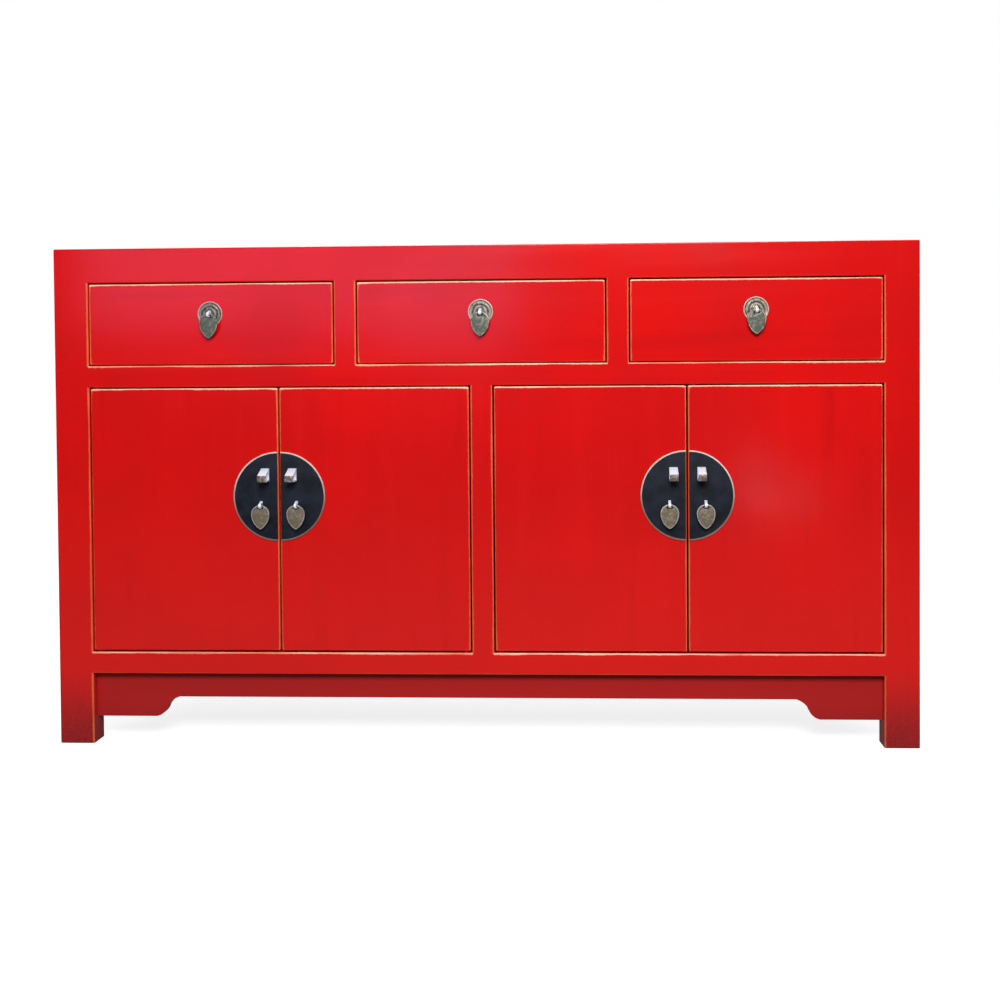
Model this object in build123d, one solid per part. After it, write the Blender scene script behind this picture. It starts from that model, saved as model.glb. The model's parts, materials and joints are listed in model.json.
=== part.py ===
from build123d import *
import math
import os

# A lacquered Chinese sideboard: a post-and-rail carcass with three inset drawers
# over two pairs of inset doors. Millimetres. +X is to the right, +Y is towards the
# wall, +Z is up, and the origin is under the middle of the whole object.

os.makedirs("parts", exist_ok=True)

# ---- driving dimensions -------------------------------------------------------
WIDTH = 1500.0
HEIGHT = 870.0
DEPTH = 400.0  # carcass alone, without the fittings on the front

POST_W = 60.0  # posts: width across the front
POST_D = 38.0  # posts: front to back
RAIL_D = 30.0  # rails and stiles: thickness
RAIL_H = 38.0  # middle and bottom rails, stiles
TOP_RAIL_H = 60.0
BOTTOM_RAIL_Z = 124.0  # underside of the bottom rails
DOOR_OPENING_H = 465.0
ARRIS = 2.0  # softened edge of the lacquered wood
CORNER_R = 3.0  # worn corners of drawer fronts and doors

BOARD = 12.0  # inner boards
PANEL_SET = 6.0  # the side panels lie this far inside the posts
GROOVE = 6.0  # depth of the panel grooves
TENON_T = 12.0
TENON_L = 24.0
SHOULDER = 7.0  # a tenon is this much lower than its rail, above and below
TOP_SHOULDER = 5.0  # from the top tenons to the top panel
STUB = 20.0  # short tenons of the stiles and the side rails

TOP_PANEL_T = 18.0
TOP_BORDER = 22.0  # the rails show this much round the top panel
BACK_PANEL_T = 8.0
BACK_SET = 10.0

APRON_T = 14.0
APRON_SET = 16.0  # the aprons lie behind the face of the posts
APRON_H = 45.0  # between the brackets
BRACKET_H = 80.0  # at the posts
APRON_HOUSING = 8.0
FRONT_BRACKET_FLAT = 107.0  # level foot of a bracket, from the post
SIDE_BRACKET_FLAT = 55.0
BRACKET_NOSE = 20.0  # rounded end of the foot
BRACKET_NOSE_RISE = 19.0
BRACKET_NOSE_BULGE = 4.0
BRACKET_HOLLOW = 21.0  # from the nose to the straight edge
BRACKET_HOLLOW_DEPTH = 2.5

DRAWER_GAP = 2.5
DRAWER_LIFT = 1.6  # under the drawer front
DRAWER_FRONT_T = 20.0
DRAWER_SIDE_T = 12.0
DRAWER_L = 340.0  # box behind the front
DRAWER_SLIDE_GAP = 0.6
DRAWER_BOTTOM_T = 6.0
DRAWER_BOTTOM_UP = 6.0
DRAWER_BOX_DROP = 14.0  # the box is this much lower than the drawer opening

DOOR_T = 20.0
DOOR_HINGE_GAP = 2.6
DOOR_MEET_GAP = 3.0
DOOR_TOP_GAP = 2.0
DOOR_FOOT_GAP = 3.5
DOOR_HINGE_ARRIS = 4.0
PIVOT_IN = 9.0  # pivot axis from the hinge edge, and from the front face
PIVOT_R = 4.0
PIVOT_CLEARANCE = 0.05
PIVOT_L = 10.0  # length inside the rail
PIVOT_HOLE = 12.0
DOOR_BATTEN_H = 40.0
DOOR_BATTEN_END = 45.0  # battens stop short of the door's upright edges
DOOR_BATTEN_IN = 70.0  # and lie this far from its top and foot

PLATE_R = 77.5
PLATE_T = 2.0
PLATE_SET = 1.5  # each half lies this far from the door's meeting edge
PLATE_Z = 436.0
STAPLE_X = 24.0  # staples and pulls, from the line where the doors meet
STAPLE_Z = PLATE_Z + 36.0
STAPLE_W = 14.5
STAPLE_STRIP = 3.0
STAPLE_PROUD = 24.0
STAPLE_UP = 13.0  # above and below its shank
STAPLE_DOWN = 9.5
STAPLE_DROP = 10.0  # of the sloping top
STAPLE_BEND = 3.0
PULL_X = 31.0
PULL_Z = PLATE_Z - 16.0

ROSETTE_R = 21.5
ROSETTE_T = 2.0
ROSETTE_BOSS_R = 8.0
ROSETTE_BOSS_T = 1.0
ROSETTE_UP = 17.0  # above the middle of the drawer
ROSETTE_PULL_DROP = 2.0  # the leaf's pivot, below the rosette's centre

EYE_OUT = 8.0  # ring centre in front of the plate
EYE_R = 4.8
EYE_HOLE_R = 3.2
EYE_W = 4.5
SHANK_R = 2.2
SHANK_UP = 4.0  # above the middle of the ring
NECK_UP = 8.0  # top of the sloping neck, at the plate
LEG_L = 13.0
LEG_W = 4.0
LEG_T = 1.2

LEAF_R = 16.0  # round head of the hanging leaf
LEAF_TOP = 2.0  # above its pivot
LEAF_TIP = 40.5  # below its pivot
LEAF_T = 2.0
LEAF_TIP_R = 4.0
LEAF_HOLE_W = 11.0
LEAF_HOLE_H = 4.6
LEAF_BRIDGE = 1.5  # below the pivot, to the top of the hole

# ---- places worked out from them ---------------------------------------------
PROUD = PLATE_T + STAPLE_PROUD
FRONT = (PROUD - DEPTH) / 2
BACK = FRONT + DEPTH
HALF = WIDTH / 2
POST_IN = HALF - POST_W  # inner face of the posts
SIDE_IN = HALF - RAIL_D  # inner face of the side rails
SIDE_Y0 = FRONT + POST_D
SIDE_Y1 = BACK - POST_D
RAIL_BACK = FRONT + RAIL_D

BOTTOM_RAIL_TOP = BOTTOM_RAIL_Z + RAIL_H
DOOR_OPENING_TOP = BOTTOM_RAIL_TOP + DOOR_OPENING_H
MID_RAIL_TOP = DOOR_OPENING_TOP + RAIL_H
TOP_RAIL_Z = HEIGHT - TOP_RAIL_H

STILE = RAIL_H / 2  # half the width of a stile
DRAWER_OPENING = (2 * POST_IN - 4 * STILE) / 3
DRAWER_STILE_X = DRAWER_OPENING / 2 + STILE
DRAWER_PITCH = DRAWER_OPENING + 2 * STILE
MEET_X = (POST_IN + STILE) / 2  # the line where a pair of doors meets
DOOR_W = (POST_IN - STILE - 2 * DOOR_HINGE_GAP - DOOR_MEET_GAP) / 2
PANEL_OUT = HALF - PANEL_SET
PANEL_INNER = PANEL_OUT - BOARD  # inner face of the side panels
BACK_IN = BACK - BACK_SET - BACK_PANEL_T  # inner face of the back panel
SHELF_Z = (BOTTOM_RAIL_TOP + MID_RAIL_TOP - BOARD) / 2

SIDES = (-1, 1)


def block(x0, x1, y0, y1, z0, z1):
    """A box between two corners, given in any order along X."""
    size = (abs(x1 - x0), y1 - y0, z1 - z0)
    return Pos((x0 + x1) / 2, (y0 + y1) / 2, (z0 + z1) / 2) * Box(*size)


def rod(radius, start, end):
    """A round rod between two points on one row axis."""
    run = Vector(*end) - Vector(*start)
    plane = Plane(origin=start, z_dir=run)
    return extrude(plane * Circle(radius), run.length)


def save(name, *pieces):
    """One STEP for a node, with each piece as its own solid."""
    solids = [solid for piece in pieces for solid in piece.solids()]
    shape = solids[0] if len(solids) == 1 else Compound(solids)
    export_step(shape, f"parts/{name}.step")


# ---- carcass -------------------------------------------------------------------
def post_region(side, back):
    y0, y1 = (SIDE_Y1, BACK) if back else (FRONT, SIDE_Y0)
    return block(side * POST_IN, side * HALF, y0, y1, 0, HEIGHT)


def cross_rail_region(z0, z1, back=False):
    y0, y1 = (BACK - RAIL_D, BACK) if back else (FRONT, RAIL_BACK)
    return block(-POST_IN, POST_IN, y0, y1, z0, z1)


def side_rail_region(side, z0, z1):
    return block(side * SIDE_IN, side * HALF, SIDE_Y0, SIDE_Y1, z0, z1)


def stile_region(x, z0, z1):
    return block(x - STILE, x + STILE, FRONT, RAIL_BACK, z0, z1)


LOW = (BOTTOM_RAIL_Z, BOTTOM_RAIL_TOP)
MIDDLE = (DOOR_OPENING_TOP, MID_RAIL_TOP)
TOP = (TOP_RAIL_Z, HEIGHT)

post_names = [("left", -1), ("right", 1)]
regions = {}
for word, side in post_names:
    regions[f"post_front_{word}"] = [post_region(side, back=False)]
    regions[f"post_back_{word}"] = [post_region(side, back=True)]
regions["top_rail_front"] = [cross_rail_region(*TOP)]
regions["mid_rail_front"] = [cross_rail_region(*MIDDLE)]
regions["bottom_rail_front"] = [cross_rail_region(*LOW)]
regions["back_rails"] = [cross_rail_region(*TOP, back=True), cross_rail_region(*LOW, back=True)]
regions["side_rails"] = [side_rail_region(s, *z) for s in SIDES for z in (TOP, LOW)]
regions["front_stiles"] = [
    stile_region(-DRAWER_STILE_X, MID_RAIL_TOP, TOP_RAIL_Z),
    stile_region(DRAWER_STILE_X, MID_RAIL_TOP, TOP_RAIL_Z),
    stile_region(0, BOTTOM_RAIL_TOP, DOOR_OPENING_TOP),
]

# The lacquer runs over the joints, so the edges are softened on the whole frame
# at once, and the frame is then parted into its members.
frame = Part() + [box for boxes in regions.values() for box in boxes]
faces_seen = (
    frame.edges().filter_by_position(Axis.Y, FRONT, FRONT)
    + frame.edges().filter_by_position(Axis.X, HALF, HALF)
    + frame.edges().filter_by_position(Axis.X, -HALF, -HALF)
)
frame = fillet(faces_seen, ARRIS)
members = {name: [frame & box for box in boxes] for name, boxes in regions.items()}


def cross_tenons(z0, z1, back=False):
    """The two end tenons of a rail that runs across the cabinet."""
    middle = BACK - RAIL_D / 2 if back else FRONT + RAIL_D / 2
    y0, y1 = middle - TENON_T / 2, middle + TENON_T / 2
    ends = [(side * POST_IN, side * (POST_IN + TENON_L)) for side in SIDES]
    return [block(x0, x1, y0, y1, z0, z1) for x0, x1 in ends]


def side_tenons(side, z0, z1):
    """The front and back tenons of a side rail."""
    x = side * (HALF - RAIL_D / 2)
    spans = [(SIDE_Y0 - STUB, SIDE_Y0), (SIDE_Y1, SIDE_Y1 + STUB)]
    return [block(x - TENON_T / 2, x + TENON_T / 2, y0, y1, z0, z1) for y0, y1 in spans]


def stile_tenons(x, z0, z1):
    """The foot and head tenons of a stile."""
    y = FRONT + RAIL_D / 2
    spans = [(z0 - STUB, z0), (z1, z1 + STUB)]
    half = STILE - GROOVE
    return [block(x - half, x + half, y - TENON_T / 2, y + TENON_T / 2, a, b) for a, b in spans]


TENON_Z = {
    TOP: (TOP_RAIL_Z + SHOULDER, HEIGHT - TOP_PANEL_T - TOP_SHOULDER),
    MIDDLE: (MIDDLE[0] + SHOULDER, MIDDLE[1] - SHOULDER),
    LOW: (LOW[0] + SHOULDER, LOW[1] - SHOULDER),
}
tenons = {
    "top_rail_front": [cross_tenons(*TENON_Z[TOP])],
    "mid_rail_front": [cross_tenons(*TENON_Z[MIDDLE])],
    "bottom_rail_front": [cross_tenons(*TENON_Z[LOW])],
    "back_rails": [cross_tenons(*TENON_Z[z], back=True) for z in (TOP, LOW)],
    "side_rails": [side_tenons(s, *TENON_Z[z]) for s in SIDES for z in (TOP, LOW)],
    "front_stiles": [
        stile_tenons(-DRAWER_STILE_X, MID_RAIL_TOP, TOP_RAIL_Z),
        stile_tenons(DRAWER_STILE_X, MID_RAIL_TOP, TOP_RAIL_Z),
        stile_tenons(0, BOTTOM_RAIL_TOP, DOOR_OPENING_TOP),
    ],
}
post_tenons = [t for name in tenons if name != "front_stiles" for ends in tenons[name] for t in ends]
rail_tenons = [t for ends in tenons["front_stiles"] for t in ends]


def bracket_outline(half_length, flat):
    """An apron seen from the front, about its own middle: a bracket with a nosed,
    hollow foot at each end and a straight edge between them."""
    foot = BOTTOM_RAIL_Z - BRACKET_H
    edge = BOTTOM_RAIL_Z - APRON_H
    foot_end = (half_length - flat, foot)
    nose_end = (foot_end[0] - BRACKET_NOSE, foot + BRACKET_NOSE_RISE)
    edge_end = (nose_end[0] - BRACKET_HOLLOW, edge)
    right = [
        Line((half_length, BOTTOM_RAIL_Z), (half_length, foot)),
        Line((half_length, foot), foot_end),
        SagittaArc(foot_end, nose_end, BRACKET_NOSE_BULGE),
        SagittaArc(nose_end, edge_end, -BRACKET_HOLLOW_DEPTH),
    ]
    left = [mirror(part, Plane.YZ) for part in right]
    join = [
        Line((-half_length, BOTTOM_RAIL_Z), (half_length, BOTTOM_RAIL_Z)),
        Line((-edge_end[0], edge), edge_end),
    ]
    return make_face(right + left + join)


def front_apron():
    outline = bracket_outline(POST_IN + APRON_HOUSING, FRONT_BRACKET_FLAT + APRON_HOUSING)
    plane = Plane(origin=(0, FRONT + APRON_SET + APRON_T, 0), x_dir=(1, 0, 0), z_dir=(0, -1, 0))
    return extrude(plane * outline, APRON_T)


def side_apron(side):
    half_length = (SIDE_Y1 - SIDE_Y0) / 2 + APRON_HOUSING
    outline = bracket_outline(half_length, SIDE_BRACKET_FLAT + APRON_HOUSING)
    x = side * (HALF - APRON_SET) - APRON_T / 2 * (1 + side)
    plane = Plane(origin=(x, (FRONT + BACK) / 2, 0), x_dir=(0, 1, 0), z_dir=(1, 0, 0))
    return extrude(plane * outline, APRON_T)


top_panel = block(
    -HALF + TOP_BORDER, HALF - TOP_BORDER,
    FRONT + TOP_BORDER, BACK - TOP_BORDER,
    HEIGHT - TOP_PANEL_T, HEIGHT,
)
side_panels = [
    block(
        s * PANEL_INNER, s * PANEL_OUT,
        SIDE_Y0 - GROOVE, SIDE_Y1 + GROOVE,
        BOTTOM_RAIL_TOP - GROOVE, TOP_RAIL_Z + GROOVE,
    )
    for s in SIDES
]
back_panel = block(
    -POST_IN - GROOVE, POST_IN + GROOVE,
    BACK_IN, BACK_IN + BACK_PANEL_T,
    BOTTOM_RAIL_TOP - GROOVE, TOP_RAIL_Z + GROOVE,
)
aprons = [front_apron()] + [side_apron(s) for s in SIDES]
post_boxes = [regions[f"post_{end}_{word}"][0] for end in ("front", "back") for word, _ in post_names]

REBATE = 8.0  # the floor and the dust board lie on this much of the rails
floor_board = block(
    -SIDE_IN - REBATE, SIDE_IN + REBATE,
    RAIL_BACK - REBATE, BACK - RAIL_D + REBATE,
    BOTTOM_RAIL_TOP - BOARD, BOTTOM_RAIL_TOP,
) - post_boxes - back_panel - side_panels
dust_board = block(
    -PANEL_INNER, PANEL_INNER,
    RAIL_BACK - REBATE, BACK_IN,
    MID_RAIL_TOP - BOARD, MID_RAIL_TOP,
) - post_boxes

pivot_x = [s * x for s in SIDES for x in (POST_IN - DOOR_HINGE_GAP - PIVOT_IN, STILE + DOOR_HINGE_GAP + PIVOT_IN)]
pivot_y = FRONT + PIVOT_IN
hole_r = PIVOT_R + PIVOT_CLEARANCE
top_sockets = [
    rod(hole_r, (x, pivot_y, DOOR_OPENING_TOP), (x, pivot_y, DOOR_OPENING_TOP + PIVOT_HOLE)) for x in pivot_x
]
foot_sockets = [
    rod(hole_r, (x, pivot_y, BOTTOM_RAIL_TOP - PIVOT_HOLE), (x, pivot_y, BOTTOM_RAIL_TOP)) for x in pivot_x
]

# The doors close against a lip along the underside of the middle rail.
LIP_H = 8.0
LIP_END = 34.0
door_lips = [
    block(
        s * (STILE + LIP_END), s * (POST_IN - LIP_END),
        FRONT + DOOR_T + DRAWER_SLIDE_GAP, RAIL_BACK,
        DOOR_OPENING_TOP - LIP_H, DOOR_OPENING_TOP,
    )
    for s in SIDES
]

cut_from_frame = [top_panel, back_panel, floor_board, dust_board] + side_panels + aprons
for name, solids in members.items():
    ends = tenons.get(name)
    for i, member in enumerate(solids):
        if name.startswith("post"):
            member = member - post_tenons - cut_from_frame
        elif name == "front_stiles":
            member = member + ends[i]
        else:
            member = (member + ends[i]) - rail_tenons - cut_from_frame
        solids[i] = member
members["mid_rail_front"][0] = members["mid_rail_front"][0] + door_lips - top_sockets
members["bottom_rail_front"][0] = members["bottom_rail_front"][0] - foot_sockets
for name, solids in members.items():
    save(name, *solids)

save("top_panel", top_panel)
save("side_panels", *side_panels)
save("back_panel", back_panel)
save("floor_board", floor_board)
save("dust_board", dust_board)
save("apron_front", aprons[0])
save("side_aprons", *aprons[1:])

TOP_BATTEN_W = 30.0
TOP_BATTEN_H = 40.0
save("top_battens", *[
    block(
        x - TOP_BATTEN_W / 2, x + TOP_BATTEN_W / 2,
        RAIL_BACK, BACK - RAIL_D,
        HEIGHT - TOP_PANEL_T - TOP_BATTEN_H, HEIGHT - TOP_PANEL_T,
    )
    for x in (-DRAWER_PITCH, 0, DRAWER_PITCH)
])

PARTITION_T = 14.0
half_partition = PARTITION_T / 2
drawer_partitions = [
    block(
        s * DRAWER_STILE_X - half_partition, s * DRAWER_STILE_X + half_partition,
        RAIL_BACK, BACK - RAIL_D,
        MID_RAIL_TOP, TOP_RAIL_Z,
    )
    for s in SIDES
]
cupboard_partition = block(
    -half_partition, half_partition,
    RAIL_BACK, BACK_IN,
    BOTTOM_RAIL_TOP, MID_RAIL_TOP - BOARD,
)
save("partitions", *drawer_partitions, cupboard_partition)

GUIDE_H = 18.0
GUIDE_OUTER_W = 18.0
guide_spans = [
    (DRAWER_STILE_X - STILE, DRAWER_STILE_X - half_partition, RAIL_BACK, BACK - RAIL_D),
    (DRAWER_STILE_X + half_partition, DRAWER_STILE_X + STILE, RAIL_BACK, BACK - RAIL_D),
    (POST_IN, POST_IN + GUIDE_OUTER_W, SIDE_Y0, SIDE_Y1),
]
save("drawer_guides", *[
    block(s * x0, s * x1, y0, y1, MID_RAIL_TOP, MID_RAIL_TOP + GUIDE_H)
    for s in SIDES
    for x0, x1, y0, y1 in guide_spans
])

SHELF_FRONT = FRONT + 60.0
CLEAT_BEHIND = 10.0  # the cleats start this far behind the shelf's front edge
CLEAT_W = 14.0
CLEAT_H = 18.0
save("shelves", *[
    block(s * half_partition, s * PANEL_INNER, SHELF_FRONT, BACK_IN, SHELF_Z, SHELF_Z + BOARD) - post_boxes
    for s in SIDES
])
cleat_spans = [(half_partition, half_partition + CLEAT_W), (PANEL_INNER - CLEAT_W, PANEL_INNER)]
save("shelf_cleats", *[
    block(s * x0, s * x1, SHELF_FRONT + CLEAT_BEHIND, SIDE_Y1, SHELF_Z - CLEAT_H, SHELF_Z)
    for s in SIDES
    for x0, x1 in cleat_spans
])


# ---- fittings ------------------------------------------------------------------
def split_shank(x, z, face_y, back_y):
    """The shank of a fitting: it goes through the wood, and its two legs are
    folded flat against the inside."""
    shank = rod(SHANK_R, (x, face_y, z), (x, back_y + LEG_T / 2, z))
    legs = block(x - LEG_L, x + LEG_L, back_y, back_y + LEG_T, z - LEG_W / 2, z + LEG_W / 2)
    return shank + legs


def shank_hole(x, z, y0, y1):
    return rod(SHANK_R, (x, y0, z), (x, y1, z))


def pull_eye(x, z, plate_y, back_y):
    """A rolled eye with a sloping neck, on a split shank. The leaf hangs in the ring.
    The outline is drawn from the side, from the plate outwards and from the ring up."""
    neck_foot = SHANK_UP - SHANK_R
    neck = Polyline(
        (0, NECK_UP), (EYE_OUT, EYE_R), (EYE_OUT, EYE_HOLE_R), (EYE_OUT - EYE_HOLE_R, neck_foot), (0, neck_foot),
        close=True,
    )
    ring = Pos(EYE_OUT, 0) * Circle(EYE_R)
    outline = ring + make_face(neck) - Pos(EYE_OUT, 0) * Circle(EYE_HOLE_R)
    plane = Plane(origin=(x - EYE_W / 2, plate_y, z), x_dir=(0, -1, 0), z_dir=(-1, 0, 0))
    return extrude(plane * outline, -EYE_W) + split_shank(x, z + SHANK_UP, plate_y - SHANK_R, back_y)


def pull_leaf(x, z, plate_y):
    """A hanging leaf: a round head that runs down in two arcs to its tip."""
    centre_z = LEAF_TOP - LEAF_R
    drop = LEAF_TIP + centre_z
    to_tip = drop - LEAF_TIP_R  # from the head's centre to the tip's
    narrowing = LEAF_R - LEAF_TIP_R
    swing = (to_tip**2 - narrowing**2) / (2 * narrowing)  # flank arcs touch the head and the tip
    flank_r = LEAF_R + swing
    head = Pos(0, centre_z) * Circle(LEAF_R)
    flanks = (Pos(-swing, centre_z) * Circle(flank_r)) & (Pos(swing, centre_z) * Circle(flank_r))
    touch_z = centre_z - to_tip * flank_r / math.hypot(swing, to_tip)  # where a flank meets the tip's arc
    between = Pos(0, (centre_z + touch_z) / 2) * Rectangle(4 * LEAF_R, centre_z - touch_z)
    outline = head + (flanks & between) + Pos(0, centre_z - to_tip) * Circle(LEAF_TIP_R)
    hole = Pos(0, -LEAF_BRIDGE - LEAF_HOLE_H / 2) * SlotOverall(LEAF_HOLE_W, LEAF_HOLE_H)
    y = plate_y - EYE_OUT
    plane = Plane(origin=(x, y + LEAF_T / 2, z), x_dir=(1, 0, 0), z_dir=(0, -1, 0))
    return extrude(plane * (outline - hole), LEAF_T)


def staple(x, z, plate_y, back_y):
    """A strip bent into a loop with a sloping top. A lock bar slides through a pair."""
    corners = [
        (0, STAPLE_UP),
        (STAPLE_PROUD - STAPLE_BEND, STAPLE_UP - STAPLE_DROP),
        (STAPLE_PROUD, STAPLE_UP - STAPLE_DROP - STAPLE_BEND),
        (STAPLE_PROUD, -STAPLE_DOWN),
        (0, -STAPLE_DOWN),
    ]
    outer = make_face(Polyline(*corners, close=True))
    inner = offset(outer, -STAPLE_STRIP, kind=Kind.INTERSECTION)
    plane = Plane(origin=(x - STAPLE_W / 2, plate_y, z), x_dir=(0, -1, 0), z_dir=(-1, 0, 0))
    loop = extrude(plane * (outer - inner), -STAPLE_W)
    return loop + split_shank(x, z, plate_y - STAPLE_STRIP / 2, back_y)


# ---- drawers -------------------------------------------------------------------
def make_drawer(name, x):
    half = DRAWER_OPENING / 2 - DRAWER_GAP
    z0 = MID_RAIL_TOP + DRAWER_LIFT
    z1 = TOP_RAIL_Z - DRAWER_GAP
    back = FRONT + DRAWER_FRONT_T
    box_z = MID_RAIL_TOP + DRAWER_SLIDE_GAP
    box_top = TOP_RAIL_Z - DRAWER_BOX_DROP
    end = back + DRAWER_L

    bottom_z = box_z + DRAWER_BOTTOM_UP
    inner = half - DRAWER_SIDE_T
    groove = DRAWER_SIDE_T / 2
    bottom = block(
        x - inner - groove, x + inner + groove, back - groove, end, bottom_z, bottom_z + DRAWER_BOTTOM_T
    )

    front = block(x - half, x + half, FRONT, back, z0, z1)
    front = fillet(front.edges().filter_by(Axis.Y), CORNER_R)
    front = fillet(front.edges().filter_by_position(Axis.Y, FRONT, FRONT), ARRIS) - bottom
    walls = [block(x + s * inner, x + s * half, back, end, box_z, box_top) - bottom for s in SIDES]
    walls.append(block(x - inner, x + inner, end - DRAWER_SIDE_T, end, bottom_z + DRAWER_BOTTOM_T, box_top))

    rosette_z = (MID_RAIL_TOP + TOP_RAIL_Z) / 2 + ROSETTE_UP
    pull_z = rosette_z - ROSETTE_PULL_DROP
    plate_y = FRONT - ROSETTE_T
    boss_y = plate_y - ROSETTE_BOSS_T
    rosette = rod(ROSETTE_R, (x, FRONT, rosette_z), (x, plate_y, rosette_z))
    rosette += rod(ROSETTE_BOSS_R, (x, plate_y, rosette_z), (x, boss_y, rosette_z))
    eye = pull_eye(x, pull_z, plate_y, back)
    hole = shank_hole(x, pull_z + SHANK_UP, boss_y, back)

    save(f"{name}_front", front - hole)
    save(f"{name}_box", *walls)
    save(f"{name}_bottom", bottom)
    save(f"{name}_rosette", rosette - eye)
    save(f"{name}_pull_eye", eye)
    save(f"{name}_pull_leaf", pull_leaf(x, pull_z, plate_y))


for name, x in (("drawer_left", -DRAWER_PITCH), ("drawer_middle", 0), ("drawer_right", DRAWER_PITCH)):
    make_drawer(name, x)


# ---- doors ---------------------------------------------------------------------
def make_door(name, meet_x, to_hinge):
    """A board door on two round pivots. to_hinge is the way along X from the meeting
    line to the hinge edge."""
    free_x = meet_x + to_hinge * DOOR_MEET_GAP / 2
    hinge_x = free_x + to_hinge * DOOR_W
    z0 = BOTTOM_RAIL_TOP + DOOR_FOOT_GAP
    z1 = DOOR_OPENING_TOP - DOOR_TOP_GAP
    back = FRONT + DOOR_T

    board = block(free_x, hinge_x, FRONT, back, z0, z1)
    upright = board.edges().filter_by(Axis.Z).filter_by_position(Axis.Y, FRONT, FRONT)
    hinge_edge = [e for e in upright if abs(e.center().X - hinge_x) < 1]
    board = fillet(hinge_edge, DOOR_HINGE_ARRIS)
    corners = [e for e in board.edges().filter_by(Axis.Y) if abs(e.center().X - free_x) < 1]
    board = fillet(corners, CORNER_R)
    near_front = board.edges().filter_by_position(Axis.Y, FRONT, FRONT)
    others = [e for e in near_front if abs(e.center().X - hinge_x) > DOOR_HINGE_ARRIS + 1]
    board = fillet(others, ARRIS)

    pivot = hinge_x - to_hinge * PIVOT_IN
    board += rod(PIVOT_R, (pivot, pivot_y, z1), (pivot, pivot_y, DOOR_OPENING_TOP + PIVOT_L))
    board += rod(PIVOT_R, (pivot, pivot_y, BOTTOM_RAIL_TOP - PIVOT_L), (pivot, pivot_y, z0))

    x0 = free_x + to_hinge * DOOR_BATTEN_END
    x1 = hinge_x - to_hinge * DOOR_BATTEN_END
    batten_feet = (z0 + DOOR_BATTEN_IN, z1 - DOOR_BATTEN_IN - DOOR_BATTEN_H)
    battens = [block(x0, x1, back, back + BOARD, z, z + DOOR_BATTEN_H) for z in batten_feet]

    plate_y = FRONT - PLATE_T
    plate_x = free_x + to_hinge * PLATE_SET
    disc = rod(PLATE_R, (plate_x, FRONT, PLATE_Z), (plate_x, plate_y, PLATE_Z))
    half_disc = disc & block(plate_x, hinge_x, plate_y, FRONT, z0, z1)

    staple_x = meet_x + to_hinge * STAPLE_X
    pull_x = meet_x + to_hinge * PULL_X
    holes = [
        shank_hole(staple_x, STAPLE_Z, plate_y, back),
        shank_hole(pull_x, PULL_Z + SHANK_UP, plate_y, back),
    ]

    save(f"{name}_panel", board - holes, *battens)
    save(f"{name}_lock_plate", half_disc - holes)
    save(f"{name}_staple", staple(staple_x, STAPLE_Z, plate_y, back))
    save(f"{name}_pull_eye", pull_eye(pull_x, PULL_Z, plate_y, back))
    save(f"{name}_pull_leaf", pull_leaf(pull_x, PULL_Z, plate_y))


make_door("door_far_left", -MEET_X, -1)
make_door("door_mid_left", -MEET_X, 1)
make_door("door_mid_right", MEET_X, -1)
make_door("door_far_right", MEET_X, 1)
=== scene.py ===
# %% [markdown]
# # A red lacquered sideboard
# The joiner's part of this cabinet is finished before this lesson starts: posts, rails,
# doors, drawers and the joints they move on come in as a fixed frame. What is left is the
# work of the lacquerer and the metalsmith. We put the lacquer on the wood and rub it
# through at the edges, we make the split lock plates, staples, rosettes and leaf pulls,
# and we light the whole as a shop would. Everything is in metres.

# %% Load the frame
import json
import math

import bmesh
import bpy
from mathutils import Matrix, Vector

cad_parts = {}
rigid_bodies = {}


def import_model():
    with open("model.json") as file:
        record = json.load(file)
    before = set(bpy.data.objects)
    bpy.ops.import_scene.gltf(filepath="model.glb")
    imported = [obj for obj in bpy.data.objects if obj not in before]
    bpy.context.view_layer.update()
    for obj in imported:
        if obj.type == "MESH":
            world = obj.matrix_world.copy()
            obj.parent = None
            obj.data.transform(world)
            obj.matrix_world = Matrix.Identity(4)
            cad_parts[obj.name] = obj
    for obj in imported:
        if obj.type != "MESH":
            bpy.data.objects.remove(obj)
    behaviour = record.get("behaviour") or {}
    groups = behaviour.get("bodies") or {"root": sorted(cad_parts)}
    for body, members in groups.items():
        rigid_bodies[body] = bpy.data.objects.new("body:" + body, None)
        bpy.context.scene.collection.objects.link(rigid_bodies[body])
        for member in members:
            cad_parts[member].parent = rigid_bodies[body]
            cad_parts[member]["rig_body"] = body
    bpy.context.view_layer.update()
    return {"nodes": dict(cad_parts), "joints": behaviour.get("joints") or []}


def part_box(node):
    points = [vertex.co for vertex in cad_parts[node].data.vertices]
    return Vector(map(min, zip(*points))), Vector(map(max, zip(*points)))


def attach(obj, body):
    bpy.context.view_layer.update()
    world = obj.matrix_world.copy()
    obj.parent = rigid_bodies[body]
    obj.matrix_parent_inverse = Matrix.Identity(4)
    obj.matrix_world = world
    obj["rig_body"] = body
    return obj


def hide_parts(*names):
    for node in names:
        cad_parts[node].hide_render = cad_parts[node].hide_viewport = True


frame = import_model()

MM = 0.001
NODES = frame["nodes"]
bpy.ops.object.select_all(action="DESELECT")

# %% [markdown]
# Most places in this lesson are read from the frame and not typed in. A node's box gives
# two corners, so the small helper below turns it into a low corner, a high corner and a
# middle. Then a change of design moves our pieces along with it. X runs from left to
# right, Y from the front to the back, and Z up from the floor.

# %% Read places from the frame
DRAWERS = ("drawer_left", "drawer_middle", "drawer_right")
DOORS = ("door_far_left", "door_mid_left", "door_mid_right", "door_far_right")


def box_of(node):
    """A node's low corner, high corner and middle."""
    low, high = (Vector(corner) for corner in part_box(node))
    return low, high, (low + high) / 2


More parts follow.
